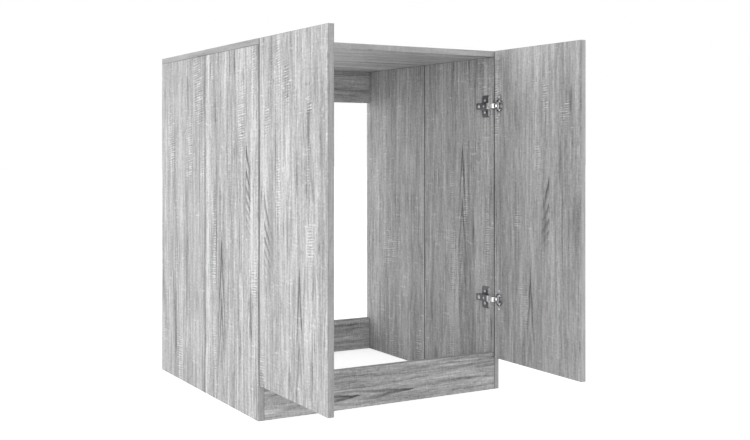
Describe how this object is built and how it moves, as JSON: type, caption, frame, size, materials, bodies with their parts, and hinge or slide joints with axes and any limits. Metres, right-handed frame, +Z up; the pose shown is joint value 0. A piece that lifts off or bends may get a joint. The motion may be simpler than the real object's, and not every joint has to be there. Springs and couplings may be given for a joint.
{
  "type": "washing machine cabinet",
  "caption": "Open-backed floor cabinet that houses a washing machine behind full-overlay doors on concealed cup hinges, with a plinth below the doors.",
  "frame": {"origin": "on the floor, below the middle of the whole cabinet with both doors open at a right angle", "axes": "+X to the viewer's right, +Y from the doors towards the open back, +Z up"},
  "size_m": [0.71, 1.053, 0.915],
  "materials": {
    "oak_board": "grey sonoma oak decor foil on chipboard, fine vertical grain, satin",
    "hinge_nickel": "bright nickel-plated pressed steel",
    "hinge_dark_nickel": "dull nickel-plated steel",
    "beech_dowel": "plain turned beech"
  },
  "bodies": {
    "carcass": {"plinth": "oak_board", "back_rail_upper": "oak_board", "back_rail_lower": "oak_board", "top_front": "oak_board", "top_rear": "oak_board", "left_side_front": "oak_board", "left_side_rear": "oak_board", "right_side_front": "oak_board", "right_side_rear": "oak_board", "left_side_dowel_1": "beech_dowel", "left_side_dowel_2": "beech_dowel", "left_side_dowel_3": "beech_dowel", "right_side_dowel_1": "beech_dowel", "right_side_dowel_2": "beech_dowel", "right_side_dowel_3": "beech_dowel", "top_dowel_1": "beech_dowel", "top_dowel_2": "beech_dowel", "left_lower_mounting_plate": "hinge_nickel", "left_lower_hinge_arm": "hinge_nickel", "left_lower_clamp_screw": "hinge_dark_nickel", "left_lower_plate_screw_a": "hinge_nickel", "left_lower_plate_screw_b": "hinge_nickel", "left_upper_mounting_plate": "hinge_nickel", "left_upper_hinge_arm": "hinge_nickel", "left_upper_clamp_screw": "hinge_dark_nickel", "left_upper_plate_screw_a": "hinge_nickel", "left_upper_plate_screw_b": "hinge_nickel", "right_lower_mounting_plate": "hinge_nickel", "right_lower_hinge_arm": "hinge_nickel", "right_lower_clamp_screw": "hinge_dark_nickel", "right_lower_plate_screw_a": "hinge_nickel", "right_lower_plate_screw_b": "hinge_nickel", "right_upper_mounting_plate": "hinge_nickel", "right_upper_hinge_arm": "hinge_nickel", "right_upper_clamp_screw": "hinge_dark_nickel", "right_upper_plate_screw_a": "hinge_nickel", "right_upper_plate_screw_b": "hinge_nickel"},
    "left_outer_links": {"left_lower_outer_link": "hinge_nickel", "left_upper_outer_link": "hinge_nickel"},
    "left_door": {"left_door": "oak_board", "left_lower_hinge_cup": "hinge_nickel", "left_lower_cup_screw_a": "hinge_nickel", "left_lower_cup_screw_b": "hinge_nickel", "left_upper_hinge_cup": "hinge_nickel", "left_upper_cup_screw_a": "hinge_nickel", "left_upper_cup_screw_b": "hinge_nickel"},
    "left_inner_links": {"left_lower_inner_link": "hinge_dark_nickel", "left_upper_inner_link": "hinge_dark_nickel"},
    "right_outer_links": {"right_lower_outer_link": "hinge_nickel", "right_upper_outer_link": "hinge_nickel"},
    "right_door": {"right_door": "oak_board", "right_lower_hinge_cup": "hinge_nickel", "right_lower_cup_screw_a": "hinge_nickel", "right_lower_cup_screw_b": "hinge_nickel", "right_upper_hinge_cup": "hinge_nickel", "right_upper_cup_screw_a": "hinge_nickel", "right_upper_cup_screw_b": "hinge_nickel"},
    "right_inner_links": {"right_lower_inner_link": "hinge_dark_nickel", "right_upper_inner_link": "hinge_dark_nickel"}
  },
  "joints": [
    {"name": "left_outer_link_swing", "type": "hinge", "parent": "carcass", "child": "left_outer_links", "pos_m": [-0.322, -0.17209, 0.5054], "axis": [0, 0, -1], "range_deg": [-3.7, 21.7]},
    {"name": "left_door_hinge", "type": "hinge", "parent": "left_outer_links", "child": "left_door", "pos_m": [-0.3408, -0.18411, 0.5054], "axis": [0, 0, -1], "range_deg": [-111.6, 18.6]},
    {"name": "left_inner_link_swing", "type": "hinge", "parent": "left_door", "child": "left_inner_links", "pos_m": [-0.34525, -0.18371, 0.5054], "axis": [0, 0, -1], "range_deg": [-15.97, 95.32]},
    {"name": "right_outer_link_swing", "type": "hinge", "parent": "carcass", "child": "right_outer_links", "pos_m": [0.322, -0.17209, 0.5054], "axis": [0, 0, 1], "range_deg": [-3.7, 21.7]},
    {"name": "right_door_hinge", "type": "hinge", "parent": "right_outer_links", "child": "right_door", "pos_m": [0.3408, -0.18411, 0.5054], "axis": [0, 0, 1], "range_deg": [-111.6, 18.6]},
    {"name": "right_inner_link_swing", "type": "hinge", "parent": "right_door", "child": "right_inner_links", "pos_m": [0.34525, -0.18371, 0.5054], "axis": [0, 0, 1], "range_deg": [-15.97, 95.32]}
  ],
  "couplings": [
    {"joint": "left_outer_link_swing", "follows": "left_door_hinge", "ratio": -0.19355},
    {"joint": "left_inner_link_swing", "follows": "left_door_hinge", "ratio": -0.85323},
    {"joint": "right_outer_link_swing", "follows": "right_door_hinge", "ratio": -0.19355},
    {"joint": "right_inner_link_swing", "follows": "right_door_hinge", "ratio": -0.85323}
  ]
}
